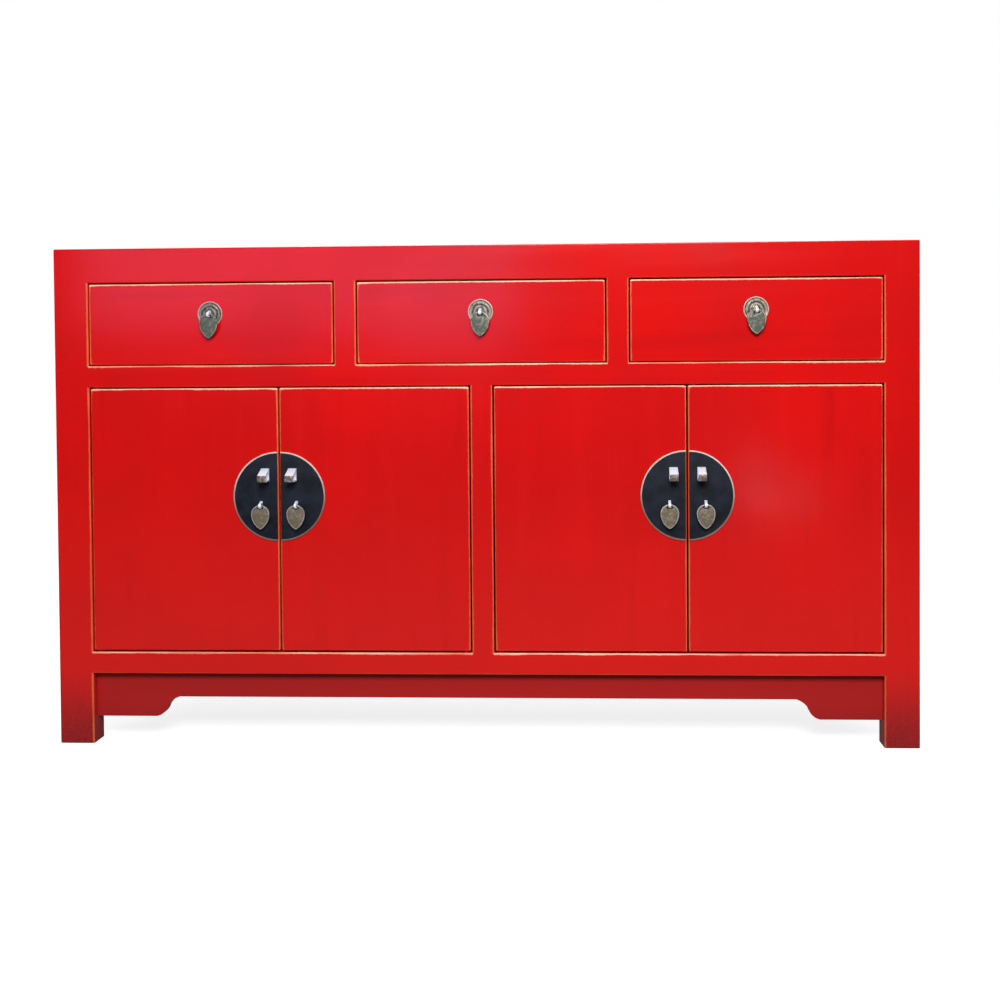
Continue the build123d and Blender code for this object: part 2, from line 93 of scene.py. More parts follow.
FRONT = box_of("mid_rail_front")[0].y  # the face of the frame, doors and drawers
DOOR_BACK = box_of("drawer_middle_front")[1].y  # the drawer fronts are as thick as the doors
MEET = (box_of("door_mid_right_lock_plate")[1].x + box_of("door_far_right_lock_plate")[0].x) / 2
print(f"front face at y {FRONT:.3f} m, a pair of doors meets at x {MEET:.4f} m")

# %% [markdown]
# ## The camera
# The cabinet is seen almost square on, from a little right of its middle and from the
# height of a seated person's eyes. A lens of about 39 mm at two metres gives the slight
# perspective: the inner sides of both front legs show under the apron. The body of the
# camera is turned a little left and down, so a small shift of the lens brings the
# cabinet back to the middle without turning the camera.

# %% Set the camera
CAMERA_PLACE = (0.2116, -2.0435, 0.656)
CAMERA_TURN = math.radians(2.18)
CAMERA_TILT = math.radians(-1.138)
CAMERA_ROLL = math.radians(-0.39)
CAMERA_LENS = 38.82  # millimetres
CAMERA_SHIFT = (-0.0626, -0.1104)  # in widths of the sensor

camera = bpy.data.objects.new("camera", bpy.data.cameras.new("camera"))
bpy.context.scene.collection.objects.link(camera)
camera.data.lens = CAMERA_LENS
camera.data.shift_x, camera.data.shift_y = CAMERA_SHIFT
turn = Matrix.Rotation(CAMERA_TURN, 4, "Z")
tilt = Matrix.Rotation(math.pi / 2 + CAMERA_TILT, 4, "X")
roll = Matrix.Rotation(CAMERA_ROLL, 4, "Z")
camera.matrix_world = Matrix.Translation(CAMERA_PLACE) @ turn @ tilt @ roll
bpy.context.scene.camera = camera
bpy.context.scene.view_settings.view_transform = "Standard"
print("camera at", tuple(round(v, 3) for v in camera.location))

# %% [markdown]
# ## Shader maths in Python
# A node tree soon grows too large to read as a picture. Here one small class holds an
# output socket, and Python's own signs add the Math nodes. A Finish holds one material,
# and its node method makes any other node: first the settings, then the sockets.

# %% Wrap sockets
class Sock:
    """An output socket that takes part in sums as a number does."""

    def __init__(self, finish, out):
        self.finish, self.out = finish, out

    def math(self, operation, *values):
        return self.finish.node("ShaderNodeMath", {"operation": operation}, dict(enumerate(values)))

    def __add__(self, other):
        return self.math("ADD", self, other)

    def __sub__(self, other):
        return self.math("SUBTRACT", self, other)

    def __rsub__(self, other):
        return self.math("SUBTRACT", other, self)

    def __mul__(self, other):
        return self.math("MULTIPLY", self, other)

    def __abs__(self):
        return self.math("ABSOLUTE", self)

    def root(self):
        return self.math("SQRT", self)

    def least(self, other):
        return self.math("MINIMUM", self, other)

    def most(self, other):
        return self.math("MAXIMUM", self, other)

    __radd__, __rmul__ = __add__, __mul__


class Finish:
    """One material with a principled shader, and the nodes that feed it."""

    def __init__(self, name, **constants):
        self.material = bpy.data.materials.new(name)
        self.material.use_nodes = True
        self.tree = self.material.node_tree
        self.shader = self.tree.nodes["Principled BSDF"]
        for socket, value in constants.items():
            self.shader.inputs[socket.replace("_", " ")].default_value = value
        self.place = self.node("ShaderNodeTexCoord", out="Object")
        parts = self.node("ShaderNodeSeparateXYZ", sockets={0: self.place}).out.node.outputs
        self.x, self.y, self.z = (Sock(self, part) for part in parts)

    def node(self, kind, settings=None, sockets=None, out=0):
        """Any node: its settings first, then a value or a link for each socket."""
        made = self.tree.nodes.new(kind)
        for name, value in (settings or {}).items():
            setattr(made, name, value)
        for key, value in (sockets or {}).items():
            if isinstance(value, Sock):
                self.tree.links.new(value.out, made.inputs[key])
            else:
                made.inputs[key].default_value = value
        return Sock(self, made.outputs[out])

    def feed(self, socket, value):
        """Links a value that varies to one of the shader's own sockets."""
        self.tree.links.new(value.out, self.shader.inputs[socket])

    def stretched(self, sx, sy, sz):
        """The place, scaled so that a pattern is drawn out along the axis with the small number."""
        settings = {"operation": "MULTIPLY"}
        return self.node("ShaderNodeVectorMath", settings, {0: self.place, 1: (sx, sy, sz)})

    def noise(self, scale, detail=2.0, rough=0.5, along=(1, 1, 1)):
        """Cloudy noise from 0 to 1. scale is about how many clouds go in a metre."""
        where = self.stretched(*along)
        sockets = {"Vector": where, "Scale": scale, "Detail": detail, "Roughness": rough}
        return self.node("ShaderNodeTexNoise", None, sockets)

    def fade(self, value, start, end, low=0.0, high=1.0):
        """A smooth step that goes from low at start to high at end."""
        sockets = {0: value, 1: start, 2: end, 3: low, 4: high}
        return self.node("ShaderNodeMapRange", {"interpolation_type": "SMOOTHSTEP"}, sockets)

    def mix(self, factor, first, second):
        """Two colours mixed by a factor."""
        sockets = {0: factor, 6: first, 7: second}
        return self.node("ShaderNodeMix", {"data_type": "RGBA"}, sockets, out=2)

    def bump(self, height, distance, strength):
        """Dents and ridges from a height; distance is how deep the deepest one looks."""
        sockets = {"Height": height, "Distance": distance, "Strength": strength}
        self.feed("Normal", self.node("ShaderNodeBump", None, sockets))


def paint(red, green, blue):
    """A colour given as it looks on a screen, 0 to 255, as a shader wants it."""
    def linear(value):
        value /= 255
        return value / 12.92 if value < 0.04045 else ((value + 0.055) / 1.055) ** 2.4

    return linear(red), linear(green), linear(blue), 1.0


print("display red 220, 24, 22 is", [round(v, 3) for v in paint(220, 24, 22)])

# %% [markdown]
# ## The lacquer
# Red lacquer is many thin coats over a pale ground. It is never one flat red: the coats
# pool and thin out by the hand's breadth, the brush leaves faint long streaks, and the
# grain of the board shows through as darker ones. Years of waxing leave a satin. Towards
# the floor the red turns paler and pinker, a painted reflection of the floor and painted
# light. The legs grow darker towards the floor, in specks, and the aprons, which lie back
# between them, get painted shade. All of that goes in one function, because posts, rails,
# doors and drawers share it. It could be painted by hand, but noise on Object coordinates
# needs no unwrapping.

# %% Mix the lacquer
LACQUER = paint(216, 13, 11)
LACQUER_DEEP = paint(202, 11, 12)
LACQUER_WARM = paint(224, 20, 10)
GRAIN = paint(184, 10, 14)
UNDERCOAT = paint(232, 84, 24)
# the cream ground, which on edges that face up is also a painted highlight
GROUND_AND_HIGHLIGHT = paint(248, 200, 166)
# a paler, pinker red low down: a painted reflection of the floor and painted light
PAINTED_FLOOR_SHEEN = paint(224, 44, 40)
BARE_WOOD = paint(116, 62, 36)
GRIME = paint(46, 8, 8)
# darker red for the legs low down, in specks, and painted shade for the set-back aprons
LOW_DARK_AND_SHADE = paint(92, 38, 40)
GLOSS = {"Coat_Weight": 0.1, "Coat_Roughness": 0.1, "Specular_IOR_Level": 0.22}
SATIN = 0.17  # roughness of the waxed coat
POOLS, STREAKS, SPECKS = 3.1, 26.0, 420.0  # scales of the three patterns
FLOOR_SHEEN_TOP, FLOOR_SHEEN_FULL = 0.55, 0.05  # heights between which the painted floor reflection grows
DARK_LEG_TOP = 0.15  # height below which the legs grow darker towards the floor
APRON_TOP = 0.13  # the aprons show below this height
APRON_BACK = 4 * MM, 10 * MM  # below it, what lies this far behind the face gets painted shade


def lacquer_coat(finish, along):
    """The red of the coats, with a painted floor reflection low down and painted shade on the aprons, and
    how rough they are. along stretches the streaks.
    """
    pools = finish.noise(POOLS, 3.0, 0.55)
    streaks = finish.noise(STREAKS, 4.0, 0.6, along)
    specks = finish.noise(SPECKS, 2.0, 0.6)
    red = finish.mix(finish.fade(pools, 0.36, 0.68), LACQUER_DEEP, LACQUER)
    red = finish.mix(finish.fade(streaks, 0.5, 0.8, 0.0, 0.3), red, LACQUER_WARM)
    red = finish.mix(finish.fade(streaks, 0.47, 0.25, 0.0, 0.4), red, GRAIN)
    red = finish.mix(finish.fade(specks, 0.64, 0.74, 0.0, 0.22), red, LACQUER_DEEP)
    # painted reflection of the floor and painted light, growing towards the floor
    red = finish.mix(finish.fade(finish.z, FLOOR_SHEEN_TOP, FLOOR_SHEEN_FULL, 0.0, 0.5), red, PAINTED_FLOOR_SHEEN)
    # the legs grow darker towards the floor, in specks; the set-back aprons get painted shade
    legs = finish.fade(finish.z, DARK_LEG_TOP, 0.0, 0.0, 0.75) * finish.fade(specks, 0.35, 0.6, 0.6, 1.0)
    under_rail = finish.fade(finish.z, APRON_TOP, APRON_TOP - 5 * MM)
    near, deep = (FRONT + back for back in APRON_BACK)
    apron_shade = under_rail * finish.fade(finish.y, near, deep, 0.0, 0.4)
    red = finish.mix(legs.most(apron_shade), red, LOW_DARK_AND_SHADE)
    dull = finish.fade(pools, 0.3, 0.7, 0.04, -0.02) + finish.fade(streaks, 0.4, 0.7, -0.01, 0.02)
    height = streaks * 0.22 + specks * 0.05 + pools * 0.8
    return red, dull + SATIN, height


print("the linear red of the lacquer runs from", round(LACQUER_DEEP[0], 2), "to", round(LACQUER[0], 2))

# %% [markdown]
# ## Rubbed edges
# After the last coat the maker rubs every edge round an opening, so that the orange
# undercoat shows, and where the rubbing goes deepest, the cream ground. A worn edge could
# be found from the mesh's curvature, but that breaks on long thin triangles. The
# openings are plain rectangles, so the distance to an edge is a sum of x and z, and one
# formula draws the line on every member that borders the opening. Edges that face up
# get the cream, there both the ground and a painted highlight as if lit from above;
# upright ones stay orange; the rest hardly show.

# %% Measure the distance to an edge
RUB_DEPTH = 3.5 * MM  # how far back from the front the rubbing reaches
LINE = 3.4 * MM  # usual width of a rubbed line
LINE_END = 1.5 * MM  # a line fades out this far past the corner of its opening


def rub(finish, distance, within, width):
    """1 on the edge, falling to 0 at the line's width. The mask within limits its length."""
    return finish.fade(distance, width, width * 0.4) * within


def near_front(finish):
    """1 on the face and round its edge, 0 deeper in the openings."""
    return finish.fade(finish.y, FRONT + RUB_DEPTH, FRONT + 0.5 * RUB_DEPTH)


def line_width(finish):
    """A width that wanders along the edge and frays a little."""
    wander = finish.fade(finish.noise(9.0, 2.0), 0.32, 0.68, 0.72, 1.2)
    fray = finish.fade(finish.noise(160.0, 3.0, 0.7), 0.3, 0.7, 0.8, 1.15)
    return wander * fray * LINE


def opening_lines(finish, centre_x, half_x, low_z, high_z, width):
    """Rubbed lines round a rectangular opening: upright, facing up and facing down."""
    across = abs(finish.x) if centre_x == 0 else abs(abs(finish.x) - centre_x)
    beside = across - half_x
    inside_x = finish.fade(beside, LINE_END, 0.0)
    over_sill = finish.fade(finish.z, low_z - LINE_END, low_z)
    under_head = finish.fade(finish.z, high_z + LINE_END, high_z)
    outside = finish.fade(beside, -LINE_END, -LINE_END / 3)
    upright = rub(finish, beside, over_sill * under_head * outside, width)
    below = finish.fade(finish.z, low_z + LINE_END, low_z)
    sill = rub(finish, low_z - finish.z, inside_x * below, width)
    above = finish.fade(finish.z, high_z - LINE_END, high_z)
    head = rub(finish, finish.z - high_z, inside_x * above, width)
    return upright, sill, head


def rubbed(finish, red, orange, ground_and_highlight):
    """Lays the undercoat and then the ground, with its painted highlight, over the red where the masks
    say.
    """
    brightness = finish.fade(finish.noise(14.0, 3.0, 0.6), 0.35, 0.65, 0.7, 1.0)
    colour = finish.mix(orange * brightness, red, UNDERCOAT)
    return finish.mix(ground_and_highlight * brightness, colour, GROUND_AND_HIGHLIGHT)


def finish_lacquer(finish, red, dull, height, worn):
    """Links the lacquer to the shader. Where it is worn, it is duller and a little lower."""
    finish.feed("Base Color", red)
    finish.feed("Roughness", dull + worn * 0.22)
    finish.bump(height - worn * 0.4, 0.12 * MM, 0.5)
    return finish.material


print(f"a rubbed line is about {LINE / MM:.1f} mm wide")

# %% [markdown]
# The frame's members share one formula, because their openings are known: three drawer
# openings, two door openings and the low gap between the legs. Left and right halves
# mirror each other, so the formula takes the distance from the middle, and four
# rectangles do for six. Posts and stiles are brushed up and down, and rails and panels
# from side to side, so there are two materials that differ only in their streaks.

# %% Lacquer the frame
DRAWER_GAP = 2.5 * MM  # beside a drawer front
DRAWER_LIFT = 1.6 * MM  # under it
HINGE_GAP = 2.6 * MM  # between a door and the post or stile that it hangs on
UNDER_FLOOR = -0.1  # the gap between the legs has no sill, so its rectangle ends down here
UPRIGHT_STREAKS, LEVEL_STREAKS = (1, 1, 0.06), (0.06, 1, 1)
HEAD_WEAR, RAIL_WEAR = 0.15, 0.5  # over the drawers and doors, and over the gap between the legs
POST_IN, OUTSIDE = (corner.x for corner in box_of("post_front_right")[:2])
RAIL_FOOT, RAIL_TOP = (corner.z for corner in box_of("bottom_rail_front")[:2])
STILE = box_of("door_mid_right_panel")[0].x - HINGE_GAP  # half the middle stile's width


def frame_openings():
    """Each opening's centre, half width, sill and head, as distances from the middle."""
    low, high, middle = box_of("drawer_right_front")
    sill = low.z - DRAWER_LIFT
    drawer = (high.x - low.x) / 2 + DRAWER_GAP, sill, box_of("top_rail_front")[0].z
    door_head = sill - (RAIL_TOP - RAIL_FOOT)  # the middle rail is as high as the bottom one
    doors = MEET, (POST_IN - STILE) / 2, RAIL_TOP, door_head
    legs = 0, POST_IN, UNDER_FLOOR, RAIL_FOOT
    return [(0, *drawer), (middle.x, *drawer), doors, legs]


def frame_lacquer(name, along):
    """Lacquer rubbed through round every opening, and here and there on the outer corners."""
    finish = Finish(name, **GLOSS)
    red, dull, height = lacquer_coat(finish, along)
    width = line_width(finish)
    uprights, sills, heads = zip(*(opening_lines(finish, *hole, width) for hole in frame_openings()))
    front = near_front(finish)
    upright = uprights[0].most(uprights[1]).most(uprights[2]).most(uprights[3])
    sill = sills[0].most(sills[1]).most(sills[2])
    head = heads[0].most(heads[1]).most(heads[2]) * HEAD_WEAR + heads[3] * RAIL_WEAR
    outer = finish.fade(abs(finish.x), OUTSIDE - 1.4 * MM, OUTSIDE - 0.2 * MM, 0.0, 0.4)
    outer = outer * finish.fade(finish.noise(30.0, 3.0), 0.45, 0.6)
    orange = upright.most(head).most(outer * 0.6).most(sill) * front
    worn_through = finish.fade(finish.noise(5.0, 2.0), 0.4, 0.6, 0.35, 0.95)
    # cream on the sills: the ground and a painted highlight, as if lit from above
    ground_and_highlight = (sill * worn_through + upright * 0.08) * front
    colour = rubbed(finish, red, orange, ground_and_highlight)
    return finish_lacquer(finish, colour, dull, height, orange)


FRAME_UPRIGHT = frame_lacquer("lacquer_frame_upright", UPRIGHT_STREAKS)
FRAME_LEVEL = frame_lacquer("lacquer_frame_level", LEVEL_STREAKS)
print(len(FRAME_LEVEL.node_tree.nodes), "nodes in the frame's lacquer")

# %% [markdown]
# Doors and drawer fronts are boards with four edges of their own. Their top edge gets
# the cream from end to end, ground with a painted highlight on it as if lit from above,
# the upright edges the orange, and the lower edge hardly at all. Corners are handled
# most, so the lines grow wider there. Where a pair of doors meets, the edges rub on each
# other, and the orange reaches far back. The back of a board never got the last coats:
# there the wood is only stained, to a dull brown.

# %% Lacquer a board
DOOR_FOOT_GAP, DOOR_HEAD_GAP = 3.5 * MM, 2.0 * MM
DOOR_OPENING = frame_openings()[2]
DOOR_Z = DOOR_OPENING[2] + DOOR_FOOT_GAP, DOOR_OPENING[3] - DOOR_HEAD_GAP
MEET_EDGE = 1.6 * MM  # from the meeting line to just inside a door's edge
MEET_DEPTH = 16 * MM  # how far back the rubbing reaches on such an edge
CORNER_WEAR = 26 * MM  # how far from a corner the lines are wider


def board_lacquer(node, along, back):
    """Lacquer rubbed through at a board's own four edges, and stain on its back."""
    finish = Finish("lacquer_" + node, **GLOSS)
    low, high, middle = box_of(node)
    if node.startswith("door"):
        low.z, high.z = DOOR_Z  # the box of a door holds its pivots too
    half_x = (high.x - low.x) / 2
    red, dull, height = lacquer_coat(finish, along)
    side = half_x - abs(finish.x - middle.x)
    top, bottom = high.z - finish.z, finish.z - low.z
    corner = finish.fade(side + top.least(bottom), 0.0, CORNER_WEAR, 1.5, 1.0)
    width = line_width(finish) * corner * 0.9
    not_back = 1.0 - finish.fade(finish.y, back - 1 * MM, back)
    upright = rub(finish, side, not_back, width)
    crest = rub(finish, top, not_back, width)
    foot = rub(finish, bottom, not_back, width) * 0.25
    front = near_front(finish)
    orange = upright.most(foot).most(crest) * front
    if node.startswith("door"):
        from_meeting = abs(abs(finish.x) - MEET)
        at_meeting = finish.fade(from_meeting, MEET_EDGE + 0.3 * MM, MEET_EDGE)
        depth = finish.fade(finish.y, FRONT + MEET_DEPTH, FRONT + 0.3 * MEET_DEPTH)
        orange = orange.most(at_meeting * depth)
    # cream on the top edge: the ground and a painted highlight, as if lit from above
    ground_and_highlight = (crest * 0.95 + upright * 0.12) * front
    colour = rubbed(finish, red, orange, ground_and_highlight)
    stain = finish.mix(finish.fade(finish.noise(30.0, 4.0, 0.6, along), 0.35, 0.7), BARE_WOOD, GRIME)
    behind = finish.fade(finish.y, back - 3 * MM, back - 0.5 * MM)
    colour = finish.mix(behind * 0.85, colour, stain)
    return finish_lacquer(finish, colour, dull + behind * 0.3, height, orange)


print(f"doors run from {DOOR_Z[0]:.4f} to {DOOR_Z[1]:.4f} m")

# %% [markdown]
# A frame node keeps its mesh and only gets a new material in its slot. Posts, stiles and
# doors are brushed up and down, everything else from side to side.

# %% Coat the wood
def set_slots(piece, materials):
    """Puts materials in a piece's slots one by one, so that each face keeps its slot."""
    slots = piece.data.materials
    for i, material in enumerate(materials):
        if i < len(slots):
            slots[i] = material
        else:
            slots.append(material)


def coat(node, material):
    """Gives a CAD node one material in every slot."""
    set_slots(NODES[node], [material] * max(1, len(NODES[node].data.materials)))


UPRIGHT = ["post_front_left", "post_front_right", "post_back_left", "post_back_right", "front_stiles"]
LEVEL = ["top_rail_front", "mid_rail_front", "bottom_rail_front", "back_rails", "side_rails"]
LEVEL += ["top_panel", "side_panels", "apron_front", "side_aprons"]
for node in UPRIGHT:
    coat(node, FRAME_UPRIGHT)
for node in LEVEL:
    coat(node, FRAME_LEVEL)
for door in DOORS:
    coat(door + "_panel", board_lacquer(door + "_panel", UPRIGHT_STREAKS, DOOR_BACK))
for drawer in DRAWERS:
    coat(drawer + "_front", board_lacquer(drawer + "_front", LEVEL_STREAKS, DOOR_BACK))
print(len(UPRIGHT) + len(LEVEL) + len(DOORS) + len(DRAWERS), "nodes lacquered")

# %% [markdown]
# ## Plain wood inside
# The inner boards and the back are softwood gone brown, and the drawer boxes are paler.
# Growth rings cut by a board look like long stretched bands, so a noise that is drawn out
# along the board gives the bands, a finer one the pores, and a slow one the stains. The
# sides of a drawer's box run back and its back board runs across, yet they are one node,
# so its material turns the bands where the back board starts.

# %% Plane the inner boards
ALONG_X, ALONG_Y = (0.05, 1, 1), (1, 0.05, 1)
RINGS, PORES = 80.0, 340.0  # scales of the bands and the pores
BOX_BACK_T = 12 * MM  # thickness of a drawer's back board


def plain_wood(name, light, dark, along, cross_from=None):
    """Bands run along one axis, or along X behind a given y, where a board lies across."""
    finish = Finish(name, Specular_IOR_Level=0.3)
    rings = finish.noise(RINGS, 4.0, 0.6, along)
    if cross_from is not None:
        behind = finish.fade(finish.y, cross_from - 0.5 * MM, cross_from)
        rings = rings * (1.0 - behind) + finish.noise(RINGS, 4.0, 0.6, ALONG_X) * behind
    pores = finish.noise(PORES, 3.0, 0.7, along)
    stain = finish.noise(5.0, 3.0, 0.6)
    colour = finish.mix(finish.fade(rings, 0.3, 0.7), dark, light)
    colour = finish.mix(finish.fade(pores, 0.5, 0.75, 0.0, 0.5), colour, dark)
    colour = finish.mix(finish.fade(stain, 0.5, 0.75, 0.0, 0.4), colour, dark)
    finish.feed("Base Color", colour)
    finish.feed("Roughness", finish.fade(rings, 0.3, 0.7, 0.72, 0.58))
    finish.bump(rings + pores * 0.6, 0.25 * MM, 0.6)
    return finish.material


BROWN = paint(142, 102, 68), paint(112, 76, 48)
PALE = paint(201, 160, 112), paint(172, 128, 84)
BOX_BACK = box_of("drawer_left_box")[1].y - BOX_BACK_T
brown_x = plain_wood("wood_brown_x", *BROWN, ALONG_X)
brown_y = plain_wood("wood_brown_y", *BROWN, ALONG_Y)
pale_x = plain_wood("wood_pale_x", *PALE, ALONG_X)
pale_y = plain_wood("wood_pale_y", *PALE, ALONG_Y, BOX_BACK)
for node in ("back_panel", "floor_board", "dust_board", "shelves"):
    coat(node, brown_x)
for node in ("top_battens", "partitions", "drawer_guides", "shelf_cleats"):
    coat(node, brown_y)
for drawer in DRAWERS:
    coat(drawer + "_box", pale_y)
    coat(drawer + "_bottom", pale_x)
print("inner boards and drawer boxes are plain wood")

# %% [markdown]
# ## The fittings' metals
# The lock plates are brass made blue-black, with a rim filed bright; the rim's upper part
# is painted brighter, a painted highlight as if lit from above. The staples and eyes are
# white brass, which handling keeps bright, and the staples' front faces are painted brown,
# a painted reflection of the dark room in front. The doors' leaves are the same white brass
# gone grey-brown, and the drawers' leaves and rosettes are yellow brass under a dull grey
# skin. Patina is a film over the metal, so it takes away from metallic as well as from
# the colour.

# %% Mix the metals
PLATE_LOW, PLATE_HIGH, PLATE_MIDDLE = box_of("door_far_right_lock_plate")
PLATE_R = (PLATE_HIGH.z - PLATE_LOW.z) / 2
PLATE_EDGE = PLATE_LOW.x - MEET  # from the meeting line to the sawn edge
RIM = 2.3 * MM  # width of the bright rim


def metal(name, bright, tarnish, amount, roughness, scale):
    """A worked metal under a broken film of tarnish. amount is how much is covered."""
    finish = Finish(name)
    blotch = finish.noise(scale, 4.0, 0.62)
    fine = finish.noise(scale * 7, 3.0, 0.6)
    bare = 0.95 - amount * 0.7
    film = finish.fade(blotch + fine * 0.35, bare, bare + 0.15)
    finish.feed("Base Color", finish.mix(film, bright, tarnish))
    finish.feed("Roughness", film * 0.22 + finish.fade(fine, 0.3, 0.7, roughness, roughness + 0.12))
    finish.feed("Metallic", 0.75 - film * 0.3)
    finish.bump(blotch + fine * 0.4, 0.12 * MM, 0.5)
    return finish.material


def black_plate():
    """The lock plate's blue-black skin, and the bright rim found by its radius, with a painted highlight
    on its upper part.
    """
    finish = Finish("plate_black", Specular_IOR_Level=0.25)
    across = abs(abs(finish.x) - MEET) - PLATE_EDGE
    up = finish.z - PLATE_MIDDLE.z
    radius = (across * across + up * up).root()
    cloud = finish.noise(38.0, 4.0, 0.6)
    hammer = finish.noise(150.0, 2.0, 0.5)
    skin = finish.mix(finish.fade(cloud, 0.35, 0.68), paint(14, 17, 26), paint(26, 31, 45))
    skin = finish.mix(finish.fade(hammer, 0.62, 0.74, 0.0, 0.3), skin, paint(46, 44, 44))
    inner = PLATE_R - RIM
    rim = finish.fade(radius, inner - 0.2 * MM, inner + 0.4 * MM)
    # the rim is painted brighter towards its top: a painted highlight, as if lit from above
    top_highlight = finish.fade(up, -0.5 * PLATE_R, 0.75 * PLATE_R)
    filed_rim_and_highlight = finish.mix(top_highlight, paint(138, 120, 104), paint(255, 248, 232))
    filed_rim_and_highlight = finish.mix(finish.fade(cloud, 0.48, 0.7, 0.0, 0.4), filed_rim_and_highlight, paint(120, 104, 84))
    finish.feed("Base Color", finish.mix(rim, skin, filed_rim_and_highlight))
    finish.feed("Metallic", rim * 0.4 + 0.1)
    finish.feed("Roughness", finish.fade(cloud, 0.3, 0.7, 0.48, 0.6) - rim * 0.14)
    finish.bump(hammer + cloud * 0.6, 0.2 * MM, 0.5)
    return finish.material


def staple_metal():
    """Bright where the bar and the hand rub it, brown on the front face: a painted reflection of the dark
    room in front.
    """
    finish = Finish("white_brass_handled", Specular_IOR_Level=0.6)
    face = box_of("door_far_right_staple")[0].y
    blotch = finish.noise(160.0, 3.0, 0.6)
    # the front face is painted brown: a painted reflection of the dark room in front, broken by blotches
    front_reflection = finish.fade(finish.y, face + 2.2 * MM, face + 0.8 * MM)
    film = (front_reflection * finish.fade(blotch, 0.3, 0.6, 0.6, 1.0)).most(finish.fade(blotch, 0.6, 0.74, 0.0, 0.4))
    finish.feed("Base Color", finish.mix(film, paint(230, 236, 248), paint(106, 80, 54)))
    finish.feed("Metallic", film * 0.3 + 0.15)
    finish.feed("Roughness", finish.fade(blotch, 0.3, 0.7, 0.34, 0.46))
    finish.bump(blotch, 0.1 * MM, 0.5)
    return finish.material


RING_PITCH = 7.2 * MM  # between the dark hollows of a rosette
ROSETTE_RIM = 20.0 * MM  # radius where its bright rim starts


def rosette_metal():
    """Aged brass. The hollows between the stamped rings hold the dark."""
    finish = Finish("yellow_brass_stamped", Specular_IOR_Level=0.5)
    middle = box_of("drawer_right_rosette")[2]
    across = abs(finish.x).least(abs(abs(finish.x) - middle.x))  # from the nearest rosette
    up = finish.z - middle.z
    radius = (across * across + up * up).root()
    wander = finish.noise(60.0, 2.0)
    turns = radius * (math.tau / RING_PITCH) + wander * 2.2 + 1.5
    ring = finish.node("ShaderNodeMath", {"operation": "SINE"}, {0: turns})
    blotch = finish.noise(170.0, 4.0, 0.65)
    dark = finish.fade(ring * 0.45 + blotch * 4.0, 1.5, 2.5)
    rim = finish.fade(radius, ROSETTE_RIM - 0.8 * MM, ROSETTE_RIM)
    colour = finish.mix(dark, paint(152, 140, 126), paint(58, 60, 54))
    colour = finish.mix(rim * 0.8, colour, paint(206, 190, 176))
    finish.feed("Base Color", colour)
    finish.feed("Metallic", 0.7 - dark * 0.4)
    finish.feed("Roughness", finish.fade(blotch, 0.3, 0.7, 0.36, 0.52))
    finish.bump(blotch, 0.15 * MM, 0.5)
    return finish.material


PLATE_BLACK = black_plate()
STAPLE_METAL = staple_metal()
LEAF_METAL = metal("white_brass_grey", paint(152, 140, 118), paint(116, 104, 86), 0.55, 0.42, 190.0)
LEAF_BORDER = metal("white_brass_border", paint(196, 192, 184), paint(128, 122, 112), 0.4, 0.36, 140.0)
DARK_METAL = metal("yellow_brass_dark", paint(128, 124, 112), paint(88, 94, 82), 0.55, 0.42, 210.0)
DARK_BORDER = metal("yellow_brass_border", paint(166, 156, 142), paint(84, 92, 80), 0.45, 0.38, 170.0)
ROSETTE_METAL = rosette_metal()
print("rim of the plates:", round(RIM / MM, 1), "mm of", round(2 * PLATE_R / MM, 1))

# %% [markdown]
# ## Working a piece by hand
# Every fitting below starts as a primitive at its real size and is shaped in edit mode:
# faces are picked by their place or the way they face, then inset, extruded, bridged or
# bevelled. These helpers open a piece, pick from it and close it again. A finished piece
# keeps its place in its mesh, with its object at the origin, as the frame's nodes do.

# %% Helpers for edit mode
SMOOTH = math.radians(40)  # faces that meet at less are shaded as one


def start(name):
    """Names the primitive just added, applies its place, and opens it."""
    piece = bpy.context.object
    piece.name = piece.data.name = name
    bpy.ops.object.transform_apply(location=True, rotation=True, scale=True)
    bpy.ops.object.mode_set(mode="EDIT")
    return piece


def pick(kind, test):
    """Selects the faces, edges or verts that pass a test, and nothing else."""
    bpy.ops.mesh.select_all(action="DESELECT")
    bpy.context.tool_settings.mesh_select_mode = (kind == "verts", kind == "edges", kind == "faces")
    mesh = bmesh.from_edit_mesh(bpy.context.object.data)
    for item in getattr(mesh, kind):
        item.select_set(bool(test(item)))
    mesh.select_flush_mode()
    bmesh.update_edit_mesh(bpy.context.object.data)


def facing(x=0, y=0, z=0):
    """A test for faces that look along a direction."""
    way = Vector((x, y, z))
    return lambda face: face.normal.dot(way) > 0.99


def sharp(angle=0.5):
    """A test for edges where two faces meet at more than an angle."""
    return lambda edge: len(edge.link_faces) == 2 and edge.calc_face_angle(0) > angle


def push(x=0, y=0, z=0):
    """Moves what is selected."""
    bpy.ops.transform.translate(value=(x, y, z))


def close(piece):
    """Merges doubles, turns the faces outwards, and smooths what isn't an edge."""
    bpy.ops.mesh.select_all(action="SELECT")
    bpy.ops.mesh.remove_doubles(threshold=0.002 * MM)
    bpy.ops.mesh.normals_make_consistent(inside=False)
    bpy.ops.object.mode_set(mode="OBJECT")
    bpy.ops.object.shade_smooth_by_angle(angle=SMOOTH)
    piece.select_set(False)
    print(piece.name, len(piece.data.polygons), "faces")
    return piece


def copy_of(piece, name, shift, mirror_x=None):
    """A copy with its own mesh, moved, or mirrored across a plane of constant x."""
    twin = bpy.data.objects.new(name, piece.data.copy())
    bpy.context.scene.collection.objects.link(twin)
    twin.data.transform(Matrix.Translation(shift))
    if mirror_x is not None:
        flip = Matrix.Translation((2 * mirror_x, 0, 0)) @ Matrix.Scale(-1, 4, (1, 0, 0))
        twin.data.transform(flip)
        twin.data.flip_normals()
    return twin


